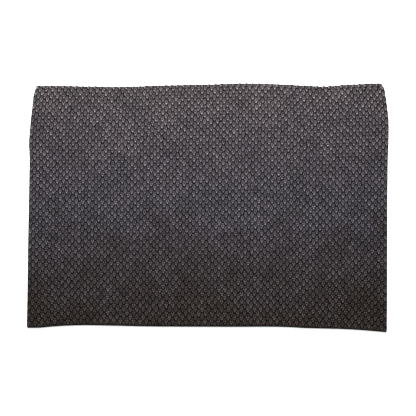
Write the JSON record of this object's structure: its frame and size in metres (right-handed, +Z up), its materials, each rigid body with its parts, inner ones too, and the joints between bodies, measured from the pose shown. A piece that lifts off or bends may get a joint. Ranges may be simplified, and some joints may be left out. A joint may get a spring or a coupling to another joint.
{
  "type": "woven outdoor rug",
  "caption": "Flat rectangular outdoor rug in a plain weave of thick dark cord, with a gently uneven outline, one scalloped end and a flat underside.",
  "frame": {"origin": "middle of the flat underside, at the centre of the rug's bounding box in plan", "axes": "+Z up off the ground, +X along the long side, +Y towards the far end, where the warp cords turn back in loops"},
  "size_m": [0.8984, 0.6252, 0.008],
  "materials": {
    "cord": "charcoal grey polypropylene cord with a soft shine on its crowns"
  },
  "bodies": {
    "root": {"rug": "cord"}
  },
  "joints": []
}
